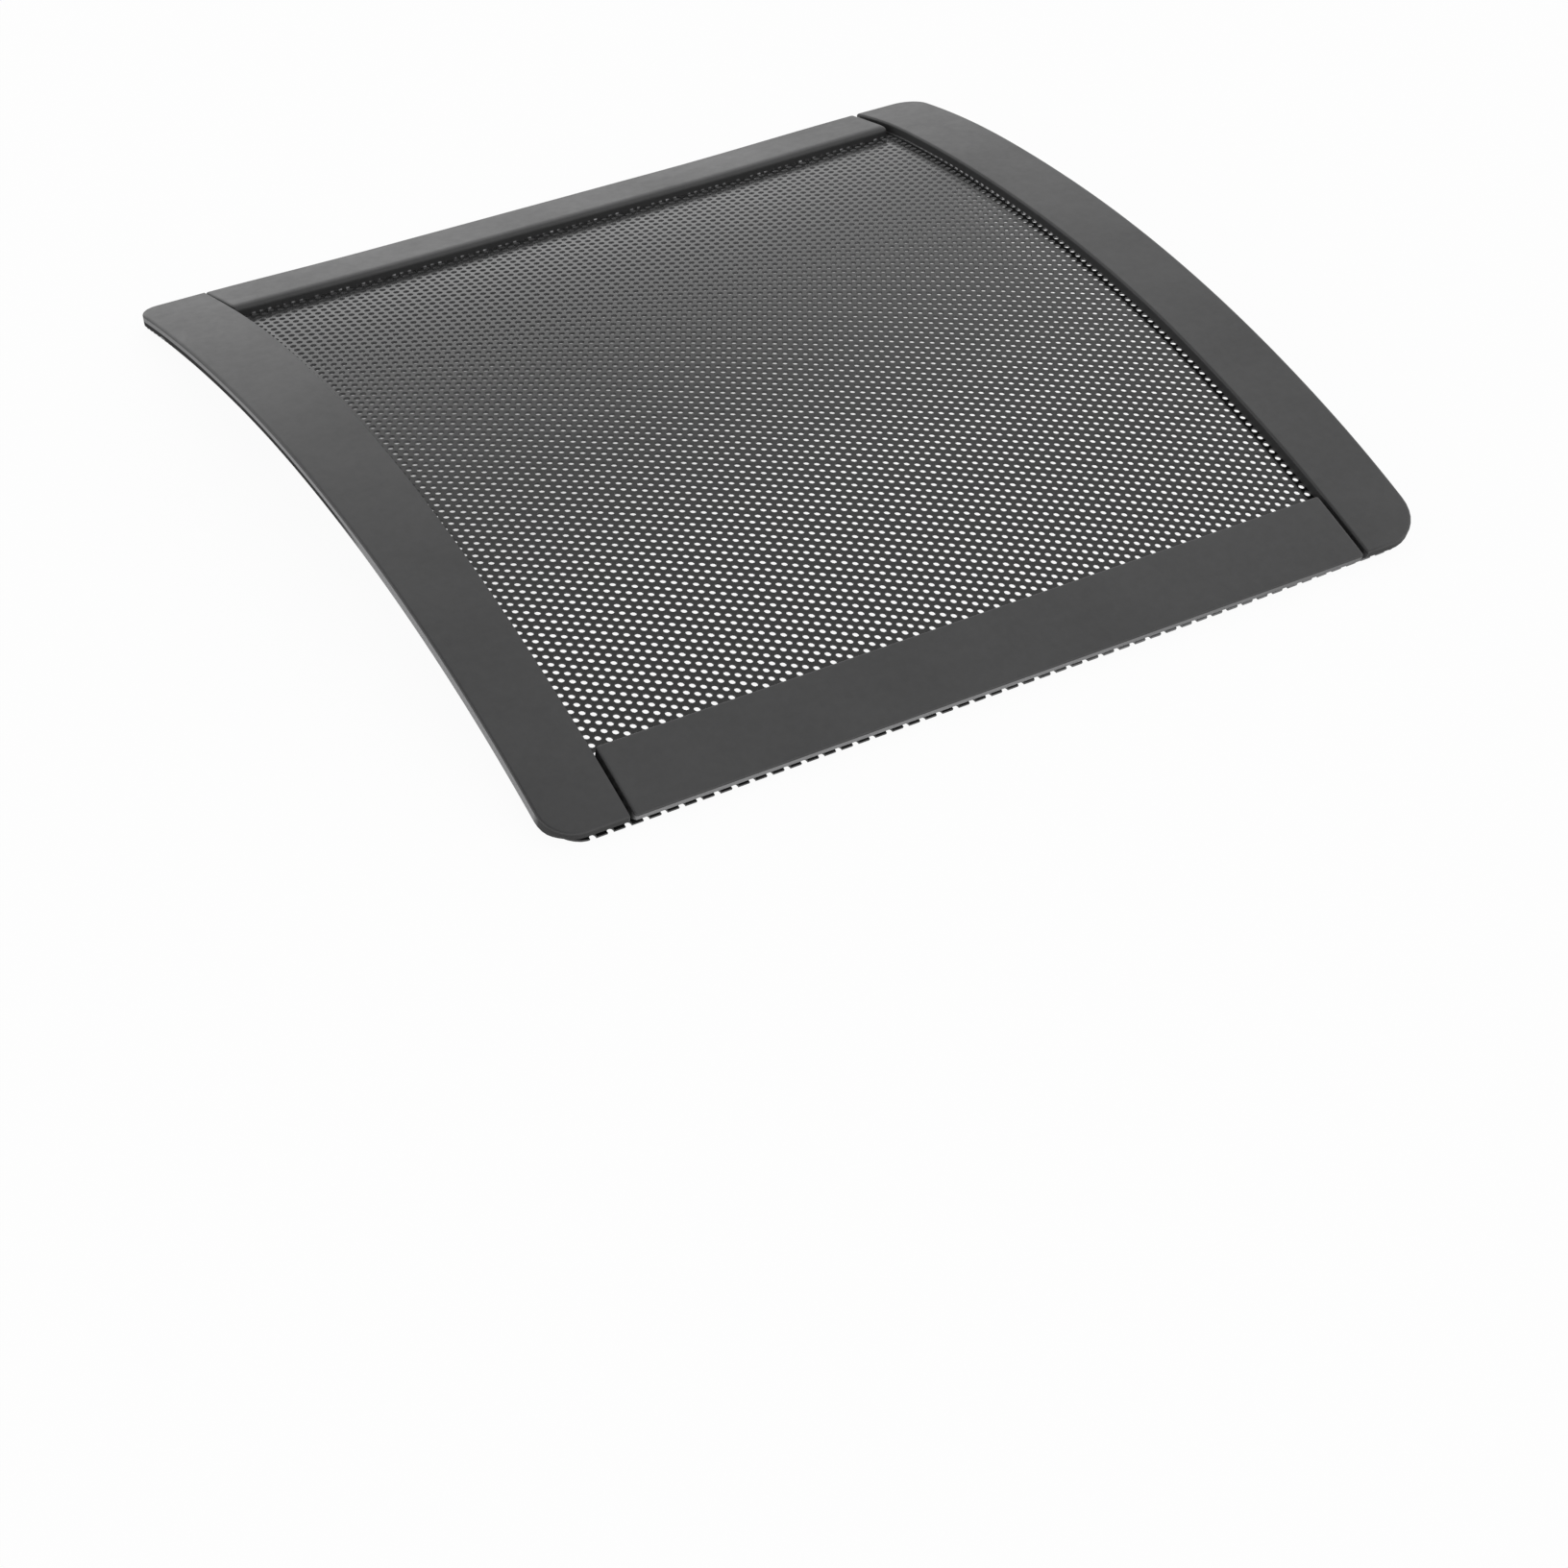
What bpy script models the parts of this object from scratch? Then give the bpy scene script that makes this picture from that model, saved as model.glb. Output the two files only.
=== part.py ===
# Fan dust filter: a thin perforated plastic sheet with four flat magnetic strips on its face, bowed
# into a low arch. Metres, +Z up. X runs across the filter and Y along the bow. The origin is the
# centre of its footprint, at the height of the two bowed-down ends that it rests on.
import math

import bmesh
import bpy

# The outline, as it is cut flat from the sheet
FILTER_WIDTH = 0.120
FILTER_LENGTH = 0.120
CORNER_RADIUS = 0.0045

# The bow, measured to the face of the sheet that carries the strips
BOW_RADIUS = 0.215

# The magnetic strips: two sides run the full length, the front and the back butt between them
SIDE_STRIP_WIDTH = 0.0094
FRONT_STRIP_WIDTH = 0.0097
BACK_STRIP_WIDTH = 0.0079
STRIP_THICKNESS = 0.00135
STRIP_EDGE_ROUND = 0.0003
BUTT_GAP = 0.0006
CROSS_STRIP_INSET = 0.0002
CROSS_STRIP_CORNER = 0.0005

# The sheet, and the line of adhesive that holds the strips on it
SHEET_THICKNESS = 0.00045
ADHESIVE_LINE = 0.00015

# The lower edges of the two ends bear flat on the table, by this height of the cut edge
FOOT_FLAT = 0.0001

# The perforation: round holes in staggered columns that run along the bow. The real sheet has holes of
# 0.85 mm at 1.31 mm; the solid carries the same layout and nearly the same open share, coarser
HOLE_PITCH = 0.0065
HOLE_DIAMETER = 0.0039
HOLE_TO_STRIP = 0.0004

# How finely curves are divided
HOLE_SIDES = 8
CORNER_STEPS = 5
SMALL_CORNER_STEPS = 2
EDGE_ROUND_STEPS = 2
BOW_FACETS = 21
SMOOTH_ANGLE = math.radians(35)
MERGE_DISTANCE = 0.000001

BOW_HALF_ANGLE = FILTER_LENGTH / 2 / BOW_RADIUS
RESTING_HEIGHT = (BOW_RADIUS - SHEET_THICKNESS) * math.cos(BOW_HALF_ANGLE) + FOOT_FLAT


def clear_scene():
    for old in list(bpy.data.objects):
        bpy.data.objects.remove(old)


def make_material(name, colour, roughness):
    material = bpy.data.materials.new(name)
    material.use_nodes = True
    shader = material.node_tree.nodes["Principled BSDF"]
    shader.inputs["Base Color"].default_value = (*colour, 1.0)
    shader.inputs["Roughness"].default_value = roughness
    shader.inputs["Metallic"].default_value = 0.0
    return material


def bow_stations():
    """Places along the length, one facet of the bow apart, with a whole facet at the crown."""
    step = FILTER_LENGTH / BOW_FACETS
    return [-FILTER_LENGTH / 2 + i * step for i in range(BOW_FACETS + 1)]


def corner_points(x, y, radius, start, steps):
    """A rounded corner about (x, y), a quarter turn anticlockwise from the start angle."""
    angles = [start + math.pi / 2 * i / steps for i in range(steps + 1)]
    return [(x + radius * math.cos(a), y + radius * math.sin(a)) for a in angles]


def outline(left, right, front, back, radii, steps):
    """A rectangle run anticlockwise, with its own radius at each corner from the front left on."""
    corners = ((left, front, 1, 1), (right, front, -1, 1), (right, back, -1, -1), (left, back, 1, -1))
    points = []
    for quarter, ((x, y, inward_x, inward_y), radius) in enumerate(zip(corners, radii)):
        if radius == 0:
            points.append((x, y))
            continue
        start = math.pi + quarter * math.pi / 2
        points += corner_points(x + inward_x * radius, y + inward_y * radius, radius, start, steps)
    return points


def ring(x, y, diameter, sides):
    """A regular polygon that stands for a round hole."""
    turns = [2 * math.pi * (i + 0.5) / sides for i in range(sides)]
    return [(x + diameter / 2 * math.cos(a), y + diameter / 2 * math.sin(a)) for a in turns]


def hole_centres():
    """Staggered columns of holes that fill the window between the strips, centred in it."""
    margin = HOLE_DIAMETER / 2 + HOLE_TO_STRIP
    half_width = FILTER_WIDTH / 2 - SIDE_STRIP_WIDTH - margin
    front = -FILTER_LENGTH / 2 + FRONT_STRIP_WIDTH + margin
    back = FILTER_LENGTH / 2 - BACK_STRIP_WIDTH - margin
    middle = (front + back) / 2
    half_length = (back - front) / 2
    column_step = HOLE_PITCH * math.sqrt(3) / 2
    last_column = math.floor(half_width / column_step)
    centres = []
    for column in range(-last_column, last_column + 1):
        stagger = HOLE_PITCH / 2 if column % 2 else 0.0
        last_row = math.floor((half_length - stagger) / HOLE_PITCH)
        first_row = -math.floor((half_length + stagger) / HOLE_PITCH)
        for row in range(first_row, last_row + 1):
            centres.append((column * column_step, middle + row * HOLE_PITCH + stagger))
    return centres


def flat_plate(outlines, underside, thickness):
    """A flat plate from its outline and the outlines of its holes, with its underside at a height."""
    curve = bpy.data.curves.new("plate outline", "CURVE")
    curve.dimensions = "2D"
    curve.fill_mode = "BOTH"
    curve.extrude = thickness / 2
    for points in outlines:
        spline = curve.splines.new("POLY")
        spline.points.add(len(points) - 1)
        for point, (x, y) in zip(spline.points, points):
            point.co = (x, y, 0, 1)
        spline.use_cyclic_u = True
    guide = bpy.data.objects.new("plate outline", curve)
    bpy.context.scene.collection.objects.link(guide)
    evaluated = guide.evaluated_get(bpy.context.evaluated_depsgraph_get())
    mesh = bpy.data.meshes.new_from_object(evaluated)
    bpy.data.objects.remove(guide)
    solid = bmesh.new()
    solid.from_mesh(mesh)
    bpy.data.meshes.remove(mesh)
    bmesh.ops.remove_doubles(solid, verts=solid.verts, dist=MERGE_DISTANCE)
    bmesh.ops.translate(solid, verts=solid.verts, vec=(0, 0, underside + thickness / 2))
    bmesh.ops.recalc_face_normals(solid, faces=solid.faces)
    return solid


def round_top_edges(solid, height):
    """Rounds the edges where the walls meet the face at this height."""
    rim = []
    for edge in solid.edges:
        on_face = all(abs(vert.co.z - height) < MERGE_DISTANCE for vert in edge.verts)
        if on_face and edge.calc_face_angle(0) > SMOOTH_ANGLE:
            rim.append(edge)
    bmesh.ops.bevel(
        solid,
        geom=rim,
        offset=STRIP_EDGE_ROUND,
        segments=EDGE_ROUND_STEPS,
        profile=0.5,
        affect="EDGES",
    )


def divide_along_bow(solid):
    """Cuts the faces across the length, so that they can follow the bow in flat facets."""
    for station in bow_stations()[1:-1]:
        everything = solid.verts[:] + solid.edges[:] + solid.faces[:]
        bmesh.ops.bisect_plane(
            solid,
            geom=everything,
            dist=MERGE_DISTANCE,
            plane_co=(0, station, 0),
            plane_no=(0, 1, 0),
        )


def bow(solid):
    """Bends flat geometry about an axis along X. Its y becomes an arc, and z stays square to the arc."""
    for vert in solid.verts:
        angle = vert.co.y / BOW_RADIUS
        radius = BOW_RADIUS + vert.co.z
        vert.co.y = radius * math.sin(angle)
        vert.co.z = radius * math.cos(angle) - RESTING_HEIGHT


def flatten_feet(solid):
    """Takes the sharp lower edge off the two ends, level with the table that they rest on."""
    bmesh.ops.bisect_plane(
        solid,
        geom=solid.verts[:] + solid.edges[:] + solid.faces[:],
        dist=MERGE_DISTANCE,
        plane_co=(0, 0, 0),
        plane_no=(0, 0, -1),
        clear_outer=True,
    )
    rims = [edge for edge in solid.edges if edge.is_boundary]
    feet = bmesh.ops.edgeloop_fill(solid, edges=rims)
    bmesh.ops.triangulate(solid, faces=feet["faces"])
    bmesh.ops.recalc_face_normals(solid, faces=solid.faces)


def finish(solid, name, material, collection):
    mesh = bpy.data.meshes.new(name)
    solid.to_mesh(mesh)
    solid.free()
    mesh.shade_smooth()
    mesh.set_sharp_from_angle(angle=SMOOTH_ANGLE)
    mesh.materials.append(material)
    part = bpy.data.objects.new(name, mesh)
    collection.objects.link(part)
    return part


def make_sheet(material, collection):
    """The perforated sheet. Its long edges have a point at each facet of the bow."""
    half_width = FILTER_WIDTH / 2
    half_length = FILTER_LENGTH / 2
    radii = (CORNER_RADIUS,) * 4
    edge = outline(-half_width, half_width, -half_length, half_length, radii, CORNER_STEPS)
    straight = half_length - CORNER_RADIUS
    stations = [y for y in bow_stations() if abs(y) < straight - MERGE_DISTANCE]
    right_front = 2 * (CORNER_STEPS + 1)
    right_side = [(half_width, y) for y in stations]
    left_side = [(-half_width, y) for y in reversed(stations)]
    edge = edge[:right_front] + right_side + edge[right_front:] + left_side
    holes = [ring(x, y, HOLE_DIAMETER, HOLE_SIDES) for x, y in hole_centres()]
    solid = flat_plate([edge, *holes], -SHEET_THICKNESS, SHEET_THICKNESS)
    bmesh.ops.triangulate(solid, faces=solid.faces)
    flat_edges = [edge for edge in solid.edges if edge.calc_face_angle(math.pi) < SMOOTH_ANGLE]
    flat_faces = list({face for edge in flat_edges for face in edge.link_faces})
    bmesh.ops.beautify_fill(solid, faces=flat_faces, edges=flat_edges, method="ANGLE")
    bow(solid)
    flatten_feet(solid)
    return finish(solid, "perforated_sheet", material, collection)


def make_strip(name, sides, radii, steps, material, collection):
    """One magnetic strip, seated on the adhesive, from the places of its left, right, front and back."""
    solid = flat_plate([outline(*sides, radii, steps)], ADHESIVE_LINE, STRIP_THICKNESS)
    round_top_edges(solid, ADHESIVE_LINE + STRIP_THICKNESS)
    divide_along_bow(solid)
    bow(solid)
    return finish(solid, name, material, collection)


def make_strips(material, collection):
    half_width = FILTER_WIDTH / 2
    half_length = FILTER_LENGTH / 2
    inner = half_width - SIDE_STRIP_WIDTH
    cross_end = inner - BUTT_GAP
    cross_edge = half_length - CROSS_STRIP_INSET
    round_left = (CORNER_RADIUS, 0, 0, CORNER_RADIUS)
    round_right = (0, CORNER_RADIUS, CORNER_RADIUS, 0)
    round_all = (CROSS_STRIP_CORNER,) * 4
    left = (-half_width, -inner, -half_length, half_length)
    right = (inner, half_width, -half_length, half_length)
    front = (-cross_end, cross_end, -cross_edge, -half_length + FRONT_STRIP_WIDTH)
    back = (-cross_end, cross_end, half_length - BACK_STRIP_WIDTH, cross_edge)
    make_strip("magnet_strip_left", left, round_left, CORNER_STEPS, material, collection)
    make_strip("magnet_strip_right", right, round_right, CORNER_STEPS, material, collection)
    make_strip("magnet_strip_front", front, round_all, SMALL_CORNER_STEPS, material, collection)
    make_strip("magnet_strip_back", back, round_all, SMALL_CORNER_STEPS, material, collection)


def main():
    clear_scene()
    collection = bpy.data.collections.new("fan dust filter")
    bpy.context.scene.collection.children.link(collection)
    sheet_plastic = make_material("sheet plastic", (0.035, 0.035, 0.036), 0.5)
    strip_rubber = make_material("strip rubber", (0.05, 0.05, 0.051), 0.42)
    make_sheet(sheet_plastic, collection)
    make_strips(strip_rubber, collection)


main()
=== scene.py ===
import math

import bmesh
import bpy
import numpy as np
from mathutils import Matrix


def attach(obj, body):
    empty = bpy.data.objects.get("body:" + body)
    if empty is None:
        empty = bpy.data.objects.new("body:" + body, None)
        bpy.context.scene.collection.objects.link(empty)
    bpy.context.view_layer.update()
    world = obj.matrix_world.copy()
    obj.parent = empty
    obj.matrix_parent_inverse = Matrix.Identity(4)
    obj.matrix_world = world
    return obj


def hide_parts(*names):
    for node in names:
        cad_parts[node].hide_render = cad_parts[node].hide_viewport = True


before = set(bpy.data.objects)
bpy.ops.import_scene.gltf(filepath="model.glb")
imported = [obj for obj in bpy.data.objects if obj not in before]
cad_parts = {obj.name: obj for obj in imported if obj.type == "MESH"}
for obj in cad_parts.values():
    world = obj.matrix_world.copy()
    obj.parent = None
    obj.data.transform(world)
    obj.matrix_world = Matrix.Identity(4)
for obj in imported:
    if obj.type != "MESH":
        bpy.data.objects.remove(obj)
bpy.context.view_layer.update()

mergeDistance = 0.000002
cutTolerance = mergeDistance / 20


# Helpers for nodes and meshes

def addNode(tree, kind, inputs=None, **settings):
    node = tree.nodes.new(kind)
    for name, value in settings.items():
        setattr(node, name, value)
    for name, value in (inputs or {}).items():
        for source in value if isinstance(value, list) else [value]:
            if isinstance(source, bpy.types.NodeSocket):
                tree.links.new(source, node.inputs[name])
            else:
                node.inputs[name].default_value = source
    return node


def calc(tree, operation, *values):
    return addNode(tree, "ShaderNodeMath", dict(enumerate(values)), operation=operation).outputs[0]


def product(tree, first, *others):
    for other in others:
        first = calc(tree, "MULTIPLY", first, other)
    return first


def separate(tree, vector):
    return addNode(tree, "ShaderNodeSeparateXYZ", {0: vector}).outputs


def combine(tree, **axes):
    return addNode(tree, "ShaderNodeCombineXYZ", axes).outputs[0]


def addSockets(tree, inputs, outputs):
    for name, kind in inputs.items():
        tree.interface.new_socket(name, in_out="INPUT", socket_type="NodeSocket" + kind)
    for name, kind in outputs.items():
        tree.interface.new_socket(name, in_out="OUTPUT", socket_type="NodeSocket" + kind)
    return tree.nodes.new("NodeGroupInput").outputs, tree.nodes.new("NodeGroupOutput").inputs


def newObject(name, mesh):
    thing = bpy.data.objects.new(name, mesh)
    bpy.context.scene.collection.objects.link(thing)
    return thing


def plainMesh(thing):
    # the object's shape after its modifiers, as an ordinary mesh on the same object
    evaluated = thing.evaluated_get(bpy.context.evaluated_depsgraph_get())
    mesh = bpy.data.meshes.new_from_object(evaluated)
    thing.modifiers.clear()
    thing.data = mesh
    return mesh


# The outline that sheet and strips are cut to

cutOutline = {
    "width": 0.120,
    "length": 0.120,
    "frontLeft": 0.0043,  # corner radii
    "frontRight": 0.0058,
    "backRight": 0.0036,
    "backLeft": 0.0029,
    "cornerSteps": 9,
    "cornerReach": 1.5,  # a corner's cuts touch only the faces within this many radii of its centre
}


def outlineCorners(left, right, front, back, radii):
    # each corner's arc centre, radius and first angle, anticlockwise from the front left
    inward = ((1, 1), (-1, 1), (-1, -1), (1, -1))
    places = ((left, front), (right, front), (right, back), (left, back))
    for quarter, ((x, y), (dx, dy), radius) in enumerate(zip(places, inward, radii)):
        yield x + dx * radius, y + dy * radius, radius, math.pi + quarter * math.pi / 2


# The bow: the flat y becomes an arc, and z stays square to it

bowShape = {
    "radius": 0.215,  # to the face of the sheet that carries the strips
    "thickness": 0.00037,  # of the sheet
    "seat": 0.00045,  # from that face down to the ends' lower edges
    "footFlat": 0.0001,  # the sheet's two ends bear flat on the table by this much
    "liftFrom": 0.020,  # the two back corners have sprung up, from this far along the bow
    "leftLift": 0.00026,
    "leftLiftSpan": (0.028, 0.052),  # grows across the sheet from the first place to the second
    "rightLift": 0.00047,
    "rightLiftSpan": (0.018, 0.050),
}


def ease(value, start, end):
    share = np.clip((value - start) / (end - start), 0.0, 1.0)
    return share * share * (3 - 2 * share)


def bowPoints(flat):
    radius = bowShape["radius"]
    halfLength = cutOutline["length"] / 2
    resting = (radius - bowShape["seat"]) * math.cos(halfLength / radius) + bowShape["footFlat"]
    across, along = flat[:, 0], flat[:, 1]
    reach = radius + flat[:, 2]
    height = np.maximum(reach * np.cos(along / radius) - resting, 0.0)
    lift = bowShape["leftLift"] * ease(-across, *bowShape["leftLiftSpan"])
    lift += bowShape["rightLift"] * ease(across, *bowShape["rightLiftSpan"])
    height += lift * ease(along, bowShape["liftFrom"], halfLength)
    return np.stack([across, reach * np.sin(along / radius), height], axis=1)


def smoothLine(share, values):
    # a smooth line through values at even steps, from share 0 to share 1
    steps = len(values) - 1
    shortOfEnd = 0.000001  # keeps the far end in the last step
    ends = [2 * values[0] - values[1], *values, 2 * values[-1] - values[-2]]
    place = np.clip(share * steps, 0.0, steps - shortOfEnd)
    first = place.astype(int)
    part = place - first
    before, start, end, after = (np.array(ends)[first + i] for i in range(4))
    bend = (2 * before - 5 * start + 4 * end - after) * part
    bend += (3 * start - before - 3 * end + after) * part * part
    return start + part / 2 * (end - before + bend)


def bendEdges(flat, box, margins, bends):
    # moves the edges of a flat outline by the bends, given in millimetres at even steps along each edge
    left, right, front, back = box
    x, y = flat[:, 0].copy(), flat[:, 1].copy()
    across, along = (x - left) / (right - left), (y - front) / (back - front)
    nearness = {
        "left": (0, along, (x - left) / margins[0]),
        "right": (0, along, (right - x) / margins[0]),
        "front": (1, across, (y - front) / margins[1]),
        "back": (1, across, (back - y) / margins[1]),
    }
    for edge, values in bends.items():
        axis, share, distance = nearness[edge]
        flat[:, axis] += smoothLine(share, values) * np.clip(1 - distance, 0.0, 1.0) / 1000


def bowMesh(mesh, box, margins, bends):
    # the place of each point before the bow stays on the mesh as "flat", for the finishes
    places = np.zeros(3 * len(mesh.vertices), np.float32)
    mesh.vertices.foreach_get("co", places)
    mesh.attributes.new("flat", "FLOAT_VECTOR", "POINT").data.foreach_set("vector", places)
    flat = places.reshape(-1, 3).astype(float)
    bendEdges(flat, box, margins, bends)
    mesh.vertices.foreach_set("co", bowPoints(flat).astype(np.float32).ravel())
    mesh.update()


def finishPiece(piece, sharpAngle, slot, *nodes):
    mesh = piece.data
    mesh.shade_smooth()
    mesh.set_sharp_from_angle(angle=math.radians(sharpAngle))
    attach(piece, "root")
    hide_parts(*nodes)
    triangles = sum(len(face.vertices) - 2 for face in mesh.polygons)
    print("scene:", piece.name, triangles, "triangles")


# Rubber and plastic finishes. In their settings a pair of places is where a change starts and where it is
# complete, in flat metres across the filter or along it.

def mask(tree, value, start, end):
    # 0 below the start, 1 above the end, or the other way round if the end comes first
    ends = {"From Min": start, "From Max": end}
    if end < start:
        ends = {"From Min": end, "From Max": start, "To Min": 1.0, "To Max": 0.0}
    return addNode(tree, "ShaderNodeMapRange", {"Value": value, **ends}).outputs[0]


def window(tree, value, rise, fall):
    # 1 between a rise and a fall
    return product(tree, mask(tree, value, *rise), mask(tree, value, *fall))


def lessen(tree, value, share):
    return product(tree, value, calc(tree, "SUBTRACT", 1.0, share))


def blend(tree, share, first, second):
    return addNode(tree, "ShaderNodeMix", {0: share, 2: first, 3: second}).outputs[0]


def blendColours(tree, share, first, second):
    node = addNode(tree, "ShaderNodeMix", {0: share, 6: first, 7: second}, data_type="RGBA")
    return node.outputs[2]


def grey(value):
    # a grey with a trace of blue
    return (value, value, value * 1.02, 1.0)


def noise(tree, vector, settings):
    return addNode(tree, "ShaderNodeTexNoise", {"Vector": vector, **settings}).outputs[0]


satinLook = {
    "broad": {"Scale": 55.0, "Detail": 3.0, "Roughness": 0.55},
    "fine": {"Scale": 900.0, "Detail": 2.0, "Roughness": 0.6},
    "grain": {"Scale": 5200.0, "Detail": 1.0},
    "streaks": {"Scale": 1.0, "Detail": 4.0},
    "streakScale": (22.0, 420.0, 60.0),  # streaks run across the filter
    "fineShare": 0.6,  # strength of the fine mottling beside the broad
    "glossChange": 0.28,  # how much glossier the lighter places are
    "fineHeight": 0.7,
    "grainHeight": 0.3,
}


def satinGroup():
    # soft mottling and handling streaks, with the fine grain of a calendered surface
    look = satinLook
    tree = bpy.data.node_groups.new("satin surface", "ShaderNodeTree")
    given, made = addSockets(
        tree,
        {"Vector": "Vector", "Colour": "Color", "Mottle": "Float", "Streak": "Float", "Gloss": "Float"},
        {"Colour": "Color", "Roughness": "Float", "Height": "Float"},
    )
    metres = given["Vector"]
    stretched = addNode(tree, "ShaderNodeMapping", {"Vector": metres, "Scale": look["streakScale"]})
    broad = noise(tree, metres, look["broad"])
    fine = noise(tree, metres, look["fine"])
    grain = noise(tree, metres, look["grain"])
    streaks = noise(tree, stretched.outputs[0], look["streaks"])
    spread = product(tree, calc(tree, "SUBTRACT", broad, 0.5), given["Mottle"])
    lines = product(tree, calc(tree, "SUBTRACT", streaks, 0.5), given["Streak"])
    speckle = product(tree, calc(tree, "SUBTRACT", fine, 0.5), given["Mottle"], look["fineShare"])
    total = calc(tree, "ADD", calc(tree, "ADD", spread, lines), speckle)
    brightness = calc(tree, "ADD", 1.0, total)
    tint = addNode(tree, "ShaderNodeVectorMath", {0: given["Colour"], "Scale": brightness}, operation="SCALE")
    tree.links.new(tint.outputs[0], made["Colour"])
    roughness = calc(tree, "SUBTRACT", given["Gloss"], product(tree, total, look["glossChange"]))
    tree.links.new(roughness, made["Roughness"])
    height = calc(tree, "ADD", product(tree, fine, look["fineHeight"]),
                  product(tree, grain, look["grainHeight"]))
    tree.links.new(height, made["Height"])
    return tree


def satinMaterial(name, group, finish):
    # the material, its tree and shader, its satin surface, and the flat places that it is drawn on
    material = bpy.data.materials.new(name)
    material.use_nodes = True
    tree = material.node_tree
    shader = tree.nodes["Principled BSDF"]
    places = addNode(tree, "ShaderNodeAttribute", attribute_name="flat").outputs["Vector"]
    surface = addNode(tree, "ShaderNodeGroup", node_tree=group)
    tree.links.new(places, surface.inputs["Vector"])
    for socket in ("Mottle", "Streak", "Gloss"):
        surface.inputs[socket].default_value = finish[socket.lower()]
    surface.inputs["Colour"].default_value = grey(finish["colour"])
    bump = addNode(tree, "ShaderNodeBump",
                   {"Height": surface.outputs["Height"], "Strength": finish["grain"],
                    "Distance": finish["grainDepth"]})
    tree.links.new(bump.outputs["Normal"], shader.inputs["Normal"])
    shader.inputs["Specular IOR Level"].default_value = finish["specular"]
    return material, tree, shader, surface.outputs, separate(tree, places)


rubberFinish = {
    "colour": 0.0395,
    "mottle": 0.55,
    "streak": 0.15,
    "gloss": 0.42,
    "grain": 0.25,
    "grainDepth": 0.00002,
    "specular": 0.6,
    "top": 0.0015,  # the strips' face above the sheet's
    "blur": 0.00004,  # how softly one height's colour gives way to the next
    "roundingShadeColour": 0.016,  # painted shade: the rounding between the face and the cut wall, painted darker as a dark reflection
    "roundingGloss": 0.6,
    "roundingFrom": 0.00002,  # below the face
    "roundingDepth": 0.00028,
    "outside": (0.0592, 0.0594),  # walls further out than this are on the outside
    "litWallColour": 0.20,  # painted light: the outer walls are painted bright, as lit
    "cutGloss": 0.5,
    "litWallFade": 0.28,  # how much less painted light the outer walls get at the back
    "litWallFadeAlong": (0.0, 0.05),
    "litWallFadeRight": 0.35,  # and at the right
    "litWallFadeAcross": (0.0, 0.045),
    "footShadeColour": 0.003,  # painted shade: the outer walls' foot is painted dark, but in the front half
    "footGloss": 1.0,
    "footHeight": 0.0006,
    "footAlong": (-0.010, -0.002),
    "shadedWallColour": 0.016,  # painted shade on the inner walls, and on the side strips' front ends
    "wallGloss": 0.75,
    "endAcross": (0.0502, 0.0508),
    "endAlong": (-0.0553, -0.0565),
    "rollRise": (0.0500, 0.0505),  # the back strip's inner edge is rolled, without the rounding's painted shade
    "rollFall": (0.0545, 0.0535),
    "rollAcross": (0.05055, 0.0504),
    "rollHeights": (0.00115, 0.00070),  # its wall's painted shade comes in from the first height down to the second
}

# dots of light at the foot of two inner walls: of glue along the back strip's, and where half holes of the
# sheet show along the right strip's
glints = {
    "colour": 0.5,
    "foot": (-0.00005, 0.00005),  # their heights
    "head": (0.00025, 0.00015),
    "backRise": (0.050, 0.051),  # the back strip's wall
    "backFall": (0.0518, 0.0516),
    "backPitch": 0.0011248,  # of the holes' columns
    "backDot": (0.0, 0.5),  # where in its wave a dot starts and is complete
    "patches": {"Scale": 640.0, "Detail": 0.0},
    "patchEdge": (0.42, 0.70),
    "rightRise": (0.0502, 0.0504),  # the right strip's wall
    "rightFall": (0.0510, 0.0508),
    "rightAlong": (-0.005, 0.025),
    "rightPitch": 0.0013169,  # of the holes in a column
    "rightDot": (-0.3, 0.5),
    "dotsEnd": (0.050, 0.034),  # furthest back the dots run together into a faint line
    "lineStart": (0.036, 0.042),
    "lineShare": 0.25,
}


def wallGlints(tree, flat):
    height = window(tree, flat["Z"], glints["foot"], glints["head"])
    backWall = window(tree, flat["Y"], glints["backRise"], glints["backFall"])
    backWave = calc(tree, "SINE", product(tree, flat["X"], 2 * math.pi / glints["backPitch"]))
    patches = noise(tree, combine(tree, X=flat["X"]), glints["patches"])
    backDots = product(tree, mask(tree, backWave, *glints["backDot"]),
                       mask(tree, patches, *glints["patchEdge"]))
    rightWall = product(tree, window(tree, flat["X"], glints["rightRise"], glints["rightFall"]),
                        mask(tree, flat["Y"], *glints["rightAlong"]))
    rightWave = calc(tree, "SINE", product(tree, flat["Y"], 2 * math.pi / glints["rightPitch"]))
    rightDots = product(tree, mask(tree, rightWave, *glints["rightDot"]),
                        mask(tree, flat["Y"], *glints["dotsEnd"]))
    faintLine = product(tree, mask(tree, flat["Y"], *glints["lineStart"]), glints["lineShare"])
    rightDots = calc(tree, "MAXIMUM", rightDots, faintLine)
    seen = calc(tree, "ADD", product(tree, backDots, backWall), product(tree, rightDots, rightWall))
    return product(tree, seen, height)


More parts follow.
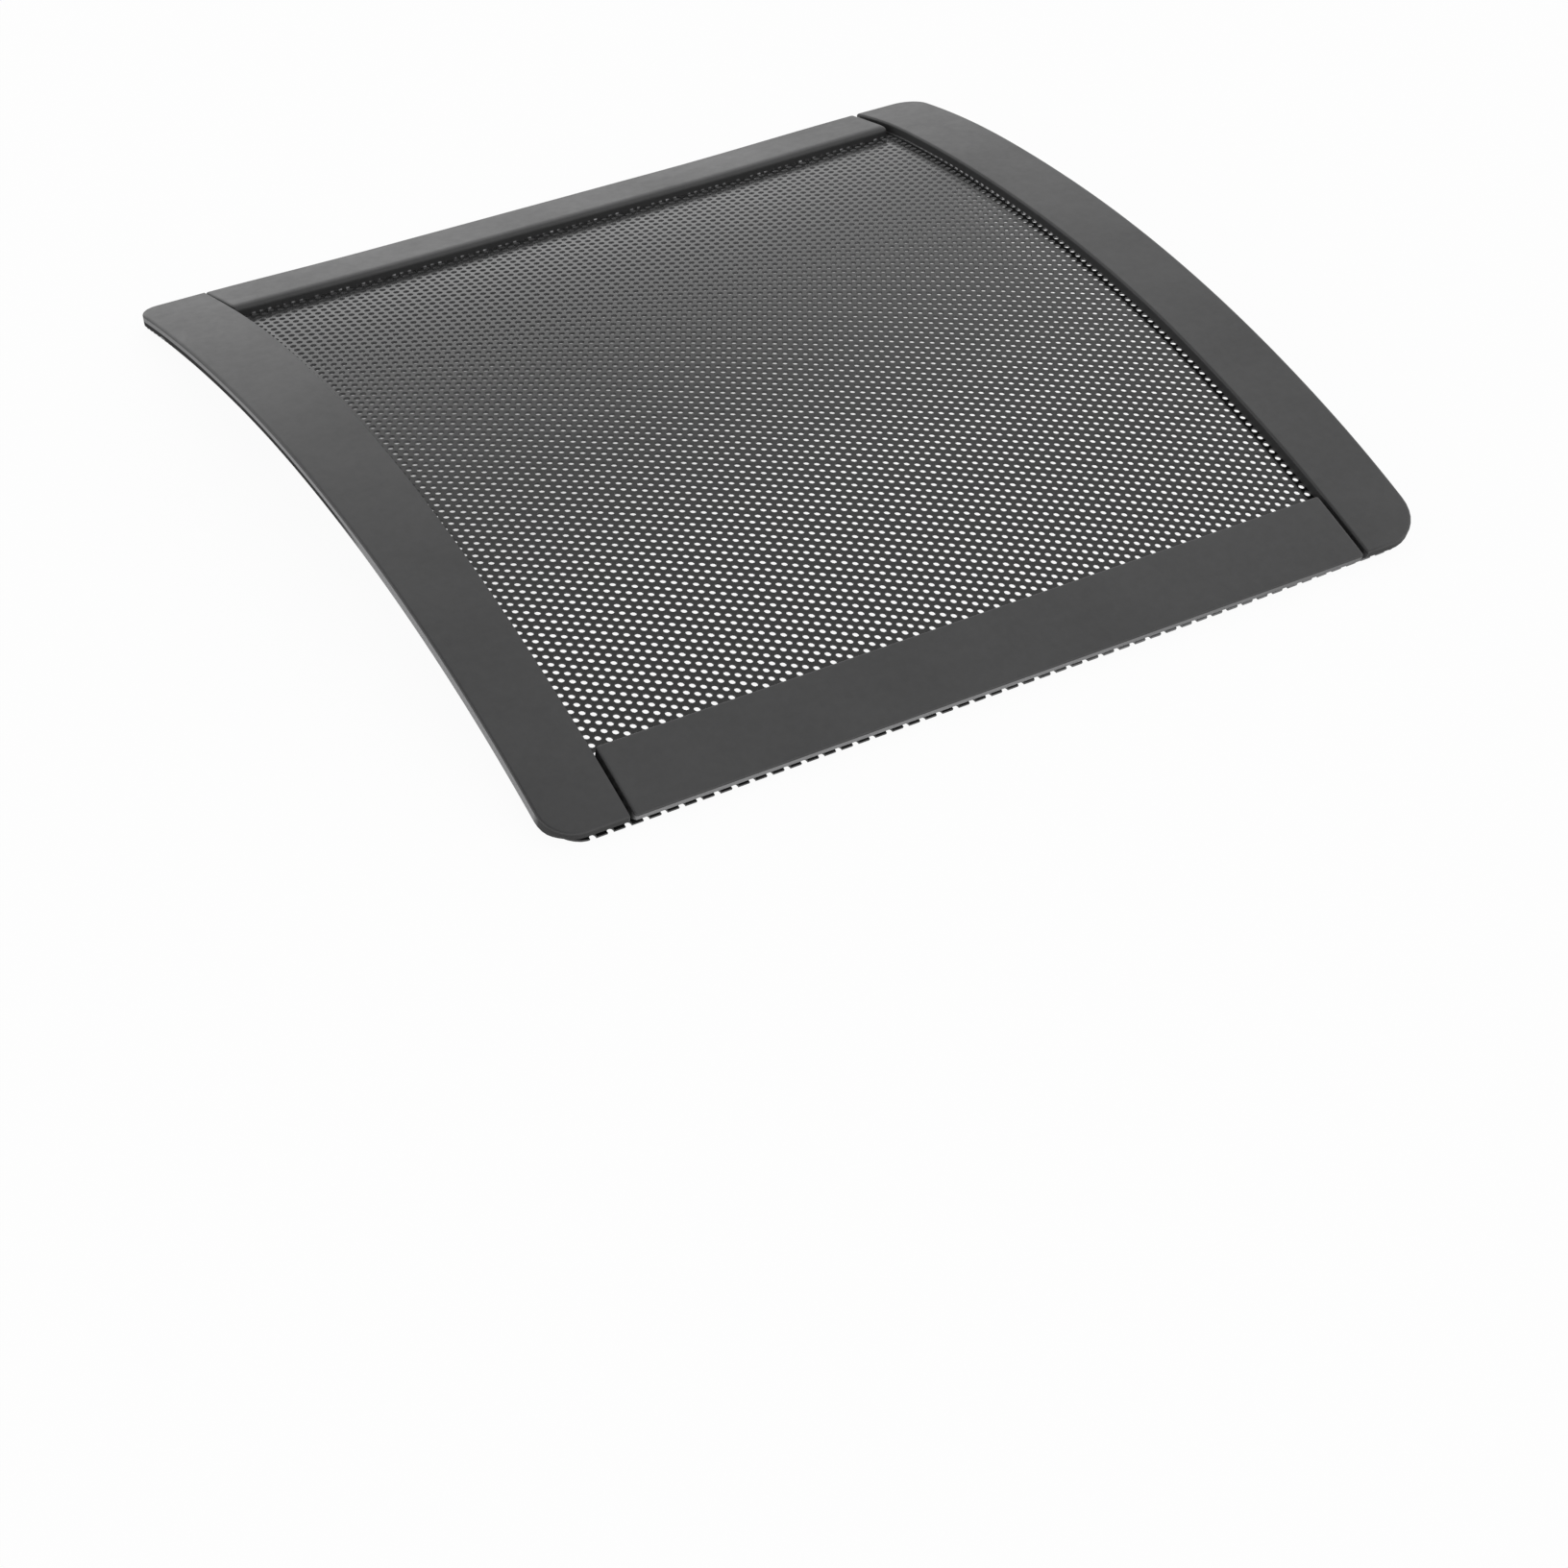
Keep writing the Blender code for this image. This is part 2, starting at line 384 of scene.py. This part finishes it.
def rubberMaterial(group):
    finish = rubberFinish
    material, tree, shader, surface, flat = satinMaterial("strip rubber", group, finish)
    across = calc(tree, "ABSOLUTE", flat["X"])
    along = calc(tree, "ABSOLUTE", flat["Y"])
    blur = finish["blur"]
    wallTop = finish["top"] - finish["roundingDepth"]

    # where the rolled edge, the rounding, the walls and the outside are
    rolled = product(tree, window(tree, flat["Y"], finish["rollRise"], finish["rollFall"]),
                     mask(tree, across, *finish["rollAcross"]))
    rounding = lessen(tree, mask(tree, flat["Z"], finish["top"] - finish["roundingFrom"], wallTop), rolled)
    below = mask(tree, flat["Z"], wallTop + blur, wallTop - blur)
    below = blend(tree, rolled, below, mask(tree, flat["Z"], *finish["rollHeights"]))
    outside = mask(tree, calc(tree, "MAXIMUM", across, along), *finish["outside"])
    end = product(tree, mask(tree, across, *finish["endAcross"]), mask(tree, flat["Y"], *finish["endAlong"]))
    foot = product(tree, mask(tree, flat["Y"], *finish["footAlong"]),
                   mask(tree, flat["Z"], finish["footHeight"] + blur, finish["footHeight"] - blur))

    # how much painted light the outer walls get
    bright = lessen(tree, outside, end)
    bright = lessen(tree, bright, foot)
    fade = product(tree, mask(tree, flat["Y"], *finish["litWallFadeAlong"]), finish["litWallFade"])
    bright = lessen(tree, bright, fade)
    fadeRight = product(tree, mask(tree, flat["X"], *finish["litWallFadeAcross"]), finish["litWallFadeRight"])
    bright = lessen(tree, bright, fadeRight)

    outerFoot = product(tree, foot, outside)
    # the walls' colour: painted light on the outer walls, painted shade on the inner walls and the ends
    wall = blendColours(tree, bright, grey(finish["shadedWallColour"]), grey(finish["litWallColour"]))
    # painted shade at the outer walls' foot
    wall = blendColours(tree, outerFoot, wall, grey(finish["footShadeColour"]))
    wall = blendColours(tree, wallGlints(tree, flat), wall, grey(glints["colour"]))
    # the rounding between face and wall is painted darker, as shade
    colour = blendColours(tree, rounding, surface["Colour"], grey(finish["roundingShadeColour"]))
    colour = blendColours(tree, below, colour, wall)
    tree.links.new(colour, shader.inputs["Base Color"])
    wallGloss = blend(tree, bright, finish["wallGloss"], finish["cutGloss"])
    wallGloss = blend(tree, outerFoot, wallGloss, finish["footGloss"])
    gloss = blend(tree, rounding, surface["Roughness"], finish["roundingGloss"])
    gloss = blend(tree, below, gloss, wallGloss)
    tree.links.new(gloss, shader.inputs["Roughness"])
    return material


sheetFinish = {
    "colour": 0.006,
    "mottle": 0.3,
    "streak": 0.15,
    "gloss": 0.20,
    "grain": 0.2,
    "grainDepth": 0.00002,
    "specular": 0.6,
    "punchedFrom": 0.00002,  # below the face
    "punchedColour": 0.018,  # the holes' walls and the cut edges, at the front
    "punchedBack": 0.11,  # lighter behind, as painted light
    "punchedBackAlong": (-0.045, 0.005),
    "punchedBackRight": 0.22,  # and most toward the back right, painted light too
    "backRightAcross": (-0.02, 0.045),
    "backRightAlong": (-0.03, 0.03),
    "punchedGloss": 0.6,
    "litRimColour": 0.17,  # painted light: the front edge's right half is painted bright, as lit
    "rimAlong": (-0.0592, -0.0594),
    "rimAcross": (-0.005, 0.018),
    "backStripMarginColour": 0.03,  # the sheet's face is lighter in front of the back strip
    "backStripMarginAlong": (0.0478, 0.0492),
}


def sheetMaterial(group):
    finish = sheetFinish
    material, tree, shader, surface, flat = satinMaterial("sheet plastic", group, finish)
    depth = finish["punchedFrom"]
    under = bowShape["thickness"] - depth
    punched = window(tree, flat["Z"], (-depth / 2, -depth), (-under - depth / 2, -under))
    behind = mask(tree, flat["Y"], *finish["punchedBackAlong"])
    backRight = product(tree, mask(tree, flat["X"], *finish["backRightAcross"]),
                        mask(tree, flat["Y"], *finish["backRightAlong"]))
    # the holes' walls get painted light toward the back, most at the back right
    walls = blendColours(tree, behind, grey(finish["punchedColour"]), grey(finish["punchedBack"]))
    walls = blendColours(tree, backRight, walls, grey(finish["punchedBackRight"]))
    backStripMargin = mask(tree, flat["Y"], *finish["backStripMarginAlong"])
    face = blendColours(tree, backStripMargin, surface["Colour"], grey(finish["backStripMarginColour"]))
    rim = product(tree, mask(tree, flat["Y"], *finish["rimAlong"]),
                  mask(tree, flat["X"], *finish["rimAcross"]))
    colour = blendColours(tree, punched, face, walls)
    # painted light along the right half of the front edge
    colour = blendColours(tree, rim, colour, grey(finish["litRimColour"]))
    tree.links.new(colour, shader.inputs["Base Color"])
    gloss = blend(tree, punched, surface["Roughness"], finish["punchedGloss"])
    tree.links.new(gloss, shader.inputs["Roughness"])
    return material


satin = satinGroup()
stripRubber = rubberMaterial(satin)
sheetPlastic = sheetMaterial(satin)
print("scene: finishes made")


# The perforated sheet, in three bands of columns that meet along the cells' zigzag edges

perforation = {
    "columnStep": 0.0011248,
    "holePitch": 0.0013169,  # from hole to hole along a column; every other column is half a pitch on
    "holeWidth": 0.00088,
    "holeSides": 10,
    "hole": (0.016772, -0.045425),  # one hole's centre, which the others are counted from
    "firstColumn": -69,
    "bandColumns": (36, 37, 36),
    "firstRow": -12,
    "rows": 93,
    "lean": 0.00926,  # how far the columns lean across, for each unit along
    "turn": -0.0015,  # how far the rows run off the square, for each unit across
    "weldDistance": 0.00001,
    "sharpAngle": 50,
    "margin": 0.008,  # how far in from an edge its bend reaches
    "bends": {
        "left": (0.2, 0.2, 0.1, -0.25, -0.75),
        "right": (-0.15, *(0.0,) * 6, -0.1, -0.7),
        "front": (-0.1, -0.1, -0.05, 0.05, 0.45),
    },
}


def perforatedBandTree():
    # one cell is a six-sided land round a hole; it is repeated in staggered columns and welded up
    tree = bpy.data.node_groups.new("perforated band", "GeometryNodeTree")
    given, made = addSockets(
        tree,
        {"First Column": "Int", "Columns": "Int", "First Row": "Int", "Rows": "Int", "Origin": "Vector",
         "Column Step": "Float", "Hole Pitch": "Float", "Hole Width": "Float", "Hole Sides": "Int",
         "Lean": "Float", "Turn": "Float", "Weld Distance": "Float", "Material": "Material"},
        {"Geometry": "Geometry"},
    )
    step = given["Column Step"]
    pitch = given["Hole Pitch"]

    # the cell's corners, where three cells meet: two on the column's sides and four above and below
    stepSquared = product(tree, step, step)
    pitchSquared = product(tree, pitch, pitch)
    outer = calc(tree, "ADD", stepSquared, product(tree, pitchSquared, 0.25))
    outer = calc(tree, "DIVIDE", outer, product(tree, step, 2.0))
    inner = calc(tree, "SUBTRACT", step, outer)
    sixSided = addNode(tree, "GeometryNodeCurvePrimitiveCircle", {"Resolution": 6, "Radius": 1.0})
    corner = separate(tree, addNode(tree, "GeometryNodeInputPosition").outputs[0])
    across = addNode(tree, "ShaderNodeMapRange",
                     {"Value": calc(tree, "ABSOLUTE", corner["X"]), "From Min": 0.5, "From Max": 1.0,
                      "To Min": inner, "To Max": outer})
    across = product(tree, across.outputs[0], calc(tree, "SIGN", corner["X"]))
    upright = product(tree, corner["Y"], calc(tree, "DIVIDE", pitch, math.sqrt(3)))
    cellEdge = addNode(tree, "GeometryNodeSetPosition",
                       {"Geometry": sixSided.outputs[0], "Position": combine(tree, X=across, Y=upright)})
    holeRadius = product(tree, given["Hole Width"], 0.5)
    hole = addNode(tree, "GeometryNodeCurvePrimitiveCircle",
                   {"Resolution": given["Hole Sides"], "Radius": holeRadius})
    edges = addNode(tree, "GeometryNodeJoinGeometry", {0: [hole.outputs[0], cellEdge.outputs[0]]})
    cell = addNode(tree, "GeometryNodeFillCurve", {"Curve": edges.outputs[0]}, mode="TRIANGLES")

    # where each cell goes
    count = product(tree, given["Columns"], given["Rows"])
    index = addNode(tree, "GeometryNodeInputIndex").outputs[0]
    column = addNode(tree, "FunctionNodeIntegerMath", {0: index, 1: given["Rows"]}, operation="DIVIDE_FLOOR")
    row = addNode(tree, "FunctionNodeIntegerMath", {0: index, 1: given["Rows"]}, operation="MODULO")
    column = calc(tree, "ADD", column.outputs[0], given["First Column"])
    row = calc(tree, "ADD", row.outputs[0], given["First Row"])
    stagger = product(tree, calc(tree, "FLOORED_MODULO", column, 2.0), 0.5)
    cellPlace = combine(tree, X=product(tree, column, step),
                        Y=product(tree, calc(tree, "ADD", row, stagger), pitch))
    points = addNode(tree, "GeometryNodePoints", {"Count": count, "Position": cellPlace})
    cells = addNode(tree, "GeometryNodeInstanceOnPoints",
                    {"Points": points.outputs[0], "Instance": cell.outputs[0]})
    cells = addNode(tree, "GeometryNodeRealizeInstances", {"Geometry": cells.outputs[0]})
    cells = addNode(tree, "GeometryNodeMergeByDistance",
                    {"Geometry": cells.outputs[0], "Distance": given["Weld Distance"]})
    moved = addNode(tree, "GeometryNodeSetPosition",
                    {"Geometry": cells.outputs[0], "Offset": given["Origin"]})

    # the punching leans a little across the sheet
    place = separate(tree, addNode(tree, "GeometryNodeInputPosition").outputs[0])
    skew = combine(tree, X=product(tree, place["Y"], given["Lean"]),
                   Y=product(tree, place["X"], given["Turn"]))
    skewed = addNode(tree, "GeometryNodeSetPosition", {"Geometry": moved.outputs[0], "Offset": skew})
    finished = addNode(tree, "GeometryNodeSetMaterial",
                       {"Geometry": skewed.outputs[0], "Material": given["Material"]})
    tree.links.new(finished.outputs[0], made["Geometry"])
    return tree


def orderByPlace(solid):
    # cutting leaves the parts of a mesh in an order that changes from run to run, so they are sorted by
    # where they are; y and z weigh more than x, so that no two places rank alike
    def rank(place):
        return place.x + 1000 * place.y + 1000000 * place.z

    solid.verts.sort(key=lambda vert: rank(vert.co))
    solid.edges.sort(key=lambda edge: rank(edge.verts[0].co + edge.verts[1].co))
    solid.faces.sort(key=lambda face: rank(face.calc_center_median()))


def cutAway(solid, place, outward, near=None):
    # removes what lies beyond a straight cut, among the faces near a place or among all of them
    faces = solid.faces[:]
    if near:
        x, y, reach = near
        faces = [face for face in faces
                 if max(abs(face.verts[0].co.x - x), abs(face.verts[0].co.y - y)) < reach]
    edges = list(dict.fromkeys(edge for face in faces for edge in face.edges))
    verts = list(dict.fromkeys(vert for face in faces for vert in face.verts))
    bmesh.ops.bisect_plane(solid, geom=verts + edges + faces, dist=cutTolerance,
                           plane_co=(*place, 0), plane_no=(*outward, 0), clear_outer=True)


def trimToOutline(mesh):
    halfWidth = cutOutline["width"] / 2
    halfLength = cutOutline["length"] / 2
    solid = bmesh.new()
    solid.from_mesh(mesh)
    xs = [vert.co.x for vert in solid.verts]
    sides = [((0, -halfLength), (0, -1)), ((0, halfLength), (0, 1))]
    if min(xs) < -halfWidth:
        sides.append(((-halfWidth, 0), (-1, 0)))
    if max(xs) > halfWidth:
        sides.append(((halfWidth, 0), (1, 0)))
    for place, outward in sides:
        cutAway(solid, place, outward)
    radii = [cutOutline[name] for name in ("frontLeft", "frontRight", "backRight", "backLeft")]
    corners = outlineCorners(-halfWidth, halfWidth, -halfLength, halfLength, radii)
    for x, y, radius, start in corners:
        if not min(xs) < x < max(xs):
            continue
        for i in range(cutOutline["cornerSteps"]):
            turn = start + math.pi / 2 * (i + 0.5) / cutOutline["cornerSteps"]
            outward = (math.cos(turn), math.sin(turn))
            place = (x + radius * outward[0], y + radius * outward[1])
            cutAway(solid, place, outward, near=(x, y, cutOutline["cornerReach"] * radius))
    orderByPlace(solid)
    bmesh.ops.dissolve_degenerate(solid, edges=solid.edges, dist=mergeDistance)
    bmesh.ops.recalc_face_normals(solid, faces=solid.faces)
    if sum(face.normal.z for face in solid.faces) < 0:
        bmesh.ops.reverse_faces(solid, faces=solid.faces)
    orderByPlace(solid)
    solid.to_mesh(mesh)
    solid.free()


def makeBand(name, tree, firstColumn, columns):
    band = newObject(name, bpy.data.meshes.new(name))
    modifier = band.modifiers.new("perforation", "NODES")
    modifier.node_group = tree
    values = {
        "First Column": firstColumn,
        "Columns": columns,
        "First Row": perforation["firstRow"],
        "Rows": perforation["rows"],
        "Origin": (*perforation["hole"], 0.0),
        "Column Step": perforation["columnStep"],
        "Hole Pitch": perforation["holePitch"],
        "Hole Width": perforation["holeWidth"],
        "Hole Sides": perforation["holeSides"],
        "Lean": perforation["lean"],
        "Turn": perforation["turn"],
        "Weld Distance": perforation["weldDistance"],
        "Material": sheetPlastic,
    }
    for socket in tree.interface.items_tree:
        if socket.in_out == "INPUT":
            modifier[socket.identifier] = values[socket.name]
    trimToOutline(plainMesh(band))
    thicken = band.modifiers.new("thickness", "SOLIDIFY")
    thicken.thickness = bowShape["thickness"]
    thicken.offset = -1.0
    thicken.use_rim = True
    halfWidth, halfLength = cutOutline["width"] / 2, cutOutline["length"] / 2
    bowMesh(plainMesh(band), (-halfWidth, halfWidth, -halfLength, halfLength),
            (perforation["margin"],) * 2, perforation["bends"])
    finishPiece(band, perforation["sharpAngle"], "sheet_plastic", "perforated_sheet")


bandTree = perforatedBandTree()
nextColumn = perforation["firstColumn"]
for bandNumber, bandColumns in enumerate(perforation["bandColumns"], 1):
    makeBand(f"perforated_band_{bandNumber}", bandTree, nextColumn, bandColumns)
    nextColumn += bandColumns
print("scene: perforated sheet made")


# The magnetic strips

strips = {
    "edgeSteps": 4,
    "insetShare": 0.5,  # a line inside the rounding, by this share of it, keeps it from shading the face
    "wallLine": 1.4,  # and one this many roundings below the top keeps it from shading the wall
    "crossCorner": 0.0004,
    "station": 0.0015,  # length of the straight runs that follow the bow
    "acrossStation": 0.0032,  # and of those across it, which follow the corners' lift
    "rollSteps": 8,
    "underFrom": 0.0005,  # below this height the front walls fall back, over the sheet's own edge
    "underBy": 0.00045,
    "underBack": -0.0575,  # this starts here along the strip
    "underSpan": 0.002,  # and is complete this much further forward
    "sharpAngle": 38,
}

# the places of each strip's left, right, front and back, how round its edges are, and how its edges
# run off the straight, in millimetres from front to back or from left to right
stripShapes = {
    "left": {
        "box": (-0.06025, -0.0506, -0.0600, 0.0600),
        "edgeRound": 0.00028,
        "sharpAt": -0.0506,  # the place across of the edge that is cut sharp
        "bends": {
            "left": (-0.60, -0.28, -0.12, -0.07, -0.12, -0.38, -0.75),
            "right": (-0.63, -0.34, 0.05, 0.44, 0.65, 0.36, -0.83),
        },
    },
    "right": {
        "box": (0.0506, 0.0602, -0.0600, 0.0600),
        "edgeRound": 0.00030,
        "bends": {
            "left": (0.0, -0.1, -0.15, -0.2, -0.2, -0.1, *(0.0,) * 9, -0.8),
            "right": (-0.15, *(0.0,) * 6, -0.1, -0.7),
        },
    },
    "front": {
        "box": (-0.05045, 0.0498, -0.0601, -0.04992),
        "edgeRound": 0.00025,
        "bends": {"left": (-0.2, 0.0), "right": (0.2, 0.1)},
    },
    "back": {
        "box": (-0.0506, 0.0496, 0.0513, 0.0599),
        "edgeRound": 0.0003,
        "roll": (0.0013, 0.0005),  # how wide and how deep its inner edge is rolled
        "bends": {"left": (0.1, -0.7), "right": (0.0, -0.55)},
    },
}


def divide(solid, place, normal):
    geometry = solid.verts[:] + solid.edges[:] + solid.faces[:]
    bmesh.ops.bisect_plane(solid, geom=geometry, dist=cutTolerance, plane_co=place, plane_no=normal)


def makeStrip(side, radii):
    shape = stripShapes[side]
    left, right, front, back = shape["box"]
    edgeRound = shape["edgeRound"]
    top = rubberFinish["top"]
    solid = bmesh.new()
    rim = []
    for x, y, radius, start in outlineCorners(left, right, front, back, radii):
        steps = cutOutline["cornerSteps"] if radius else 0
        for i in range(steps + 1):
            turn = start + math.pi / 2 * i / max(steps, 1)
            rim.append(solid.verts.new((x + radius * math.cos(turn), y + radius * math.sin(turn), 0)))
    base = solid.faces.new(rim)
    lifted = bmesh.ops.extrude_face_region(solid, geom=[base], use_keep_orig=True)["geom"]
    lid = [face for face in lifted if isinstance(face, bmesh.types.BMFace)][0]
    bmesh.ops.translate(solid, verts=lid.verts[:], vec=(0, 0, top))
    bmesh.ops.recalc_face_normals(solid, faces=solid.faces)
    sharpAt = shape.get("sharpAt", math.inf)
    rounded = [edge for edge in lid.edges
               if any(abs(vert.co.x - sharpAt) > mergeDistance for vert in edge.verts)]
    bmesh.ops.bevel(solid, geom=rounded, offset=edgeRound, segments=strips["edgeSteps"], profile=0.5,
                    affect="EDGES")
    lid = max(solid.faces, key=lambda face: face.calc_center_median().z)
    bmesh.ops.inset_region(solid, faces=[lid], thickness=edgeRound * strips["insetShare"])
    divide(solid, (0, 0, top - strips["wallLine"] * edgeRound), (0, 0, 1))
    runs = math.ceil((back - front) / strips["station"])
    for i in range(1, runs):
        divide(solid, (0, front + (back - front) * i / runs, 0), (0, 1, 0))
    acrossRuns = math.ceil((right - left) / strips["acrossStation"])
    for i in range(1, acrossRuns):
        divide(solid, (left + (right - left) * i / acrossRuns, 0, 0), (1, 0, 0))
    rollWidth, rollDepth = shape.get("roll", (0.0, 0.0))
    if rollWidth:
        for i in range(1, strips["rollSteps"] + 1):
            divide(solid, (0, front + rollWidth * i / strips["rollSteps"], 0), (0, 1, 0))
        for vert in solid.verts:
            share = min(max((front + rollWidth - vert.co.y) / rollWidth, 0.0), 1.0)
            vert.co.z *= 1 - rollDepth / top * (1 - math.sqrt(1 - share * share))
    divide(solid, (0, 0, strips["underFrom"]), (0, 0, 1))
    for vert in solid.verts:
        if vert.co.z < mergeDistance:
            share = min(max((strips["underBack"] - vert.co.y) / strips["underSpan"], 0.0), 1.0)
            vert.co.y += strips["underBy"] * share
    bmesh.ops.remove_doubles(solid, verts=solid.verts, dist=mergeDistance)
    orderByPlace(solid)
    name = "rubber_strip_" + side
    mesh = bpy.data.meshes.new(name)
    solid.to_mesh(mesh)
    solid.free()
    mesh.materials.append(stripRubber)
    bowMesh(mesh, shape["box"], (right - left, back - front), shape["bends"])
    strip = newObject(name, mesh)
    finishPiece(strip, strips["sharpAngle"], "strip_rubber", "magnet_strip_" + side)


crossCorners = (strips["crossCorner"],) * 4
makeStrip("left", (cutOutline["frontLeft"], 0, 0, cutOutline["backLeft"]))
makeStrip("right", (0, cutOutline["frontRight"], cutOutline["backRight"], 0))
makeStrip("front", crossCorners)
makeStrip("back", crossCorners)
print("scene: strips made")


# Floor, backdrop, lights and camera

studio = {
    "floorSize": 6.0,
    "floorColour": 0.95,
    "floorGlow": 0.95,  # share of the floor's look that is plain white to the camera
    "shadedGlow": 0.25,  # and under the back half of the filter, where little light gets in
    "shadedAcross": (0.0535, 0.0500),
    "shadedBack": (0.058, 0.050),
    "shadedFrom": (-0.014, 0.030),
    "shadedLean": 0.2,  # how much further back this starts, for each unit to the right
    "skyHeights": (0.9, 0.05),  # from the light overhead to the light of the horizon
    "skyFall": 1.7,  # how fast the horizon's light falls off upward
    "skyHorizon": 1.9,
    "skyHorizonRight": 1.35,
    "horizonAcross": (0.42, 0.56),  # directions across, from -1 at the left to 1 at the right
    "skyFarLeft": 0.2,  # overhead it is darker to the left than to the right
    "farLeftAcross": (-0.35, -0.05),
    "skyLeft": 0.58,
    "skyRight": 1.0,
    "overheadAcross": (0.25, 0.6),
}

camera = {
    "place": (-0.1811224, -0.3032513, 0.245605),
    "turn": (49.1324, -1.5425, -30.1979),  # degrees
    "lens": 76.973,
    "sensor": 36.0,
    "clip": (0.01, 20.0),
}


def makeFloor():
    half = studio["floorSize"] / 2
    mesh = bpy.data.meshes.new("floor")
    corners = [(-half, -half, 0), (half, -half, 0), (half, half, 0), (-half, half, 0)]
    mesh.from_pydata(corners, [], [(0, 1, 2, 3)])
    material = bpy.data.materials.new("floor")
    material.use_nodes = True
    tree = material.node_tree
    tree.nodes.clear()
    colour = studio["floorColour"]
    matt = addNode(tree, "ShaderNodeBsdfDiffuse", {"Color": (colour, colour, colour, 1)})
    white = addNode(tree, "ShaderNodeEmission", {"Color": (1, 1, 1, 1), "Strength": 1.0})
    rays = addNode(tree, "ShaderNodeLightPath").outputs
    seen = calc(tree, "MAXIMUM", rays["Is Camera Ray"], rays["Is Transmission Ray"])
    seen = calc(tree, "MAXIMUM", seen, rays["Is Glossy Ray"])
    place = separate(tree, addNode(tree, "ShaderNodeTexCoord").outputs["Object"])
    under = product(tree, mask(tree, calc(tree, "ABSOLUTE", place["X"]), *studio["shadedAcross"]),
                    mask(tree, place["Y"], *studio["shadedBack"]))
    leaning = calc(tree, "SUBTRACT", place["Y"], product(tree, place["X"], studio["shadedLean"]))
    shaded = product(tree, under, mask(tree, leaning, *studio["shadedFrom"]))
    glow = blend(tree, shaded, studio["floorGlow"], studio["shadedGlow"])
    share = product(tree, seen, glow)
    mixed = addNode(tree, "ShaderNodeMixShader", {0: share, 1: matt.outputs[0], 2: white.outputs[0]})
    addNode(tree, "ShaderNodeOutputMaterial", {"Surface": mixed.outputs[0]})
    mesh.materials.append(material)
    floor = newObject("floor", mesh)


def makeWorld():
    world = bpy.data.worlds.new("studio")
    bpy.context.scene.world = world
    world.use_nodes = True
    tree = world.node_tree
    tree.nodes.clear()
    towards = separate(tree, addNode(tree, "ShaderNodeTexCoord").outputs["Generated"])
    low = calc(tree, "POWER", mask(tree, towards["Z"], *studio["skyHeights"]), studio["skyFall"])
    overhead = blend(tree, mask(tree, towards["X"], *studio["overheadAcross"]),
                     studio["skyLeft"], studio["skyRight"])
    overhead = blend(tree, mask(tree, towards["X"], *studio["farLeftAcross"]),
                     studio["skyFarLeft"], overhead)
    horizon = blend(tree, mask(tree, towards["X"], *studio["horizonAcross"]),
                    studio["skyHorizon"], studio["skyHorizonRight"])
    light = blend(tree, low, overhead, horizon)
    rays = addNode(tree, "ShaderNodeLightPath").outputs
    strength = blend(tree, rays["Is Camera Ray"], light, 1.0)
    sky = addNode(tree, "ShaderNodeBackground", {"Color": (1, 1, 1, 1), "Strength": strength})
    addNode(tree, "ShaderNodeOutputWorld", {"Surface": sky.outputs[0]})


def makeCamera():
    lens = bpy.data.cameras.new("camera")
    lens.lens = camera["lens"]
    lens.sensor_width = camera["sensor"]
    lens.clip_start, lens.clip_end = camera["clip"]
    viewer = newObject("camera", lens)
    viewer.location = camera["place"]
    viewer.rotation_euler = [math.radians(angle) for angle in camera["turn"]]
    bpy.context.scene.camera = viewer


makeFloor()
makeWorld()
makeCamera()
bpy.context.scene.view_settings.view_transform = "Standard"
print("scene: studio made")
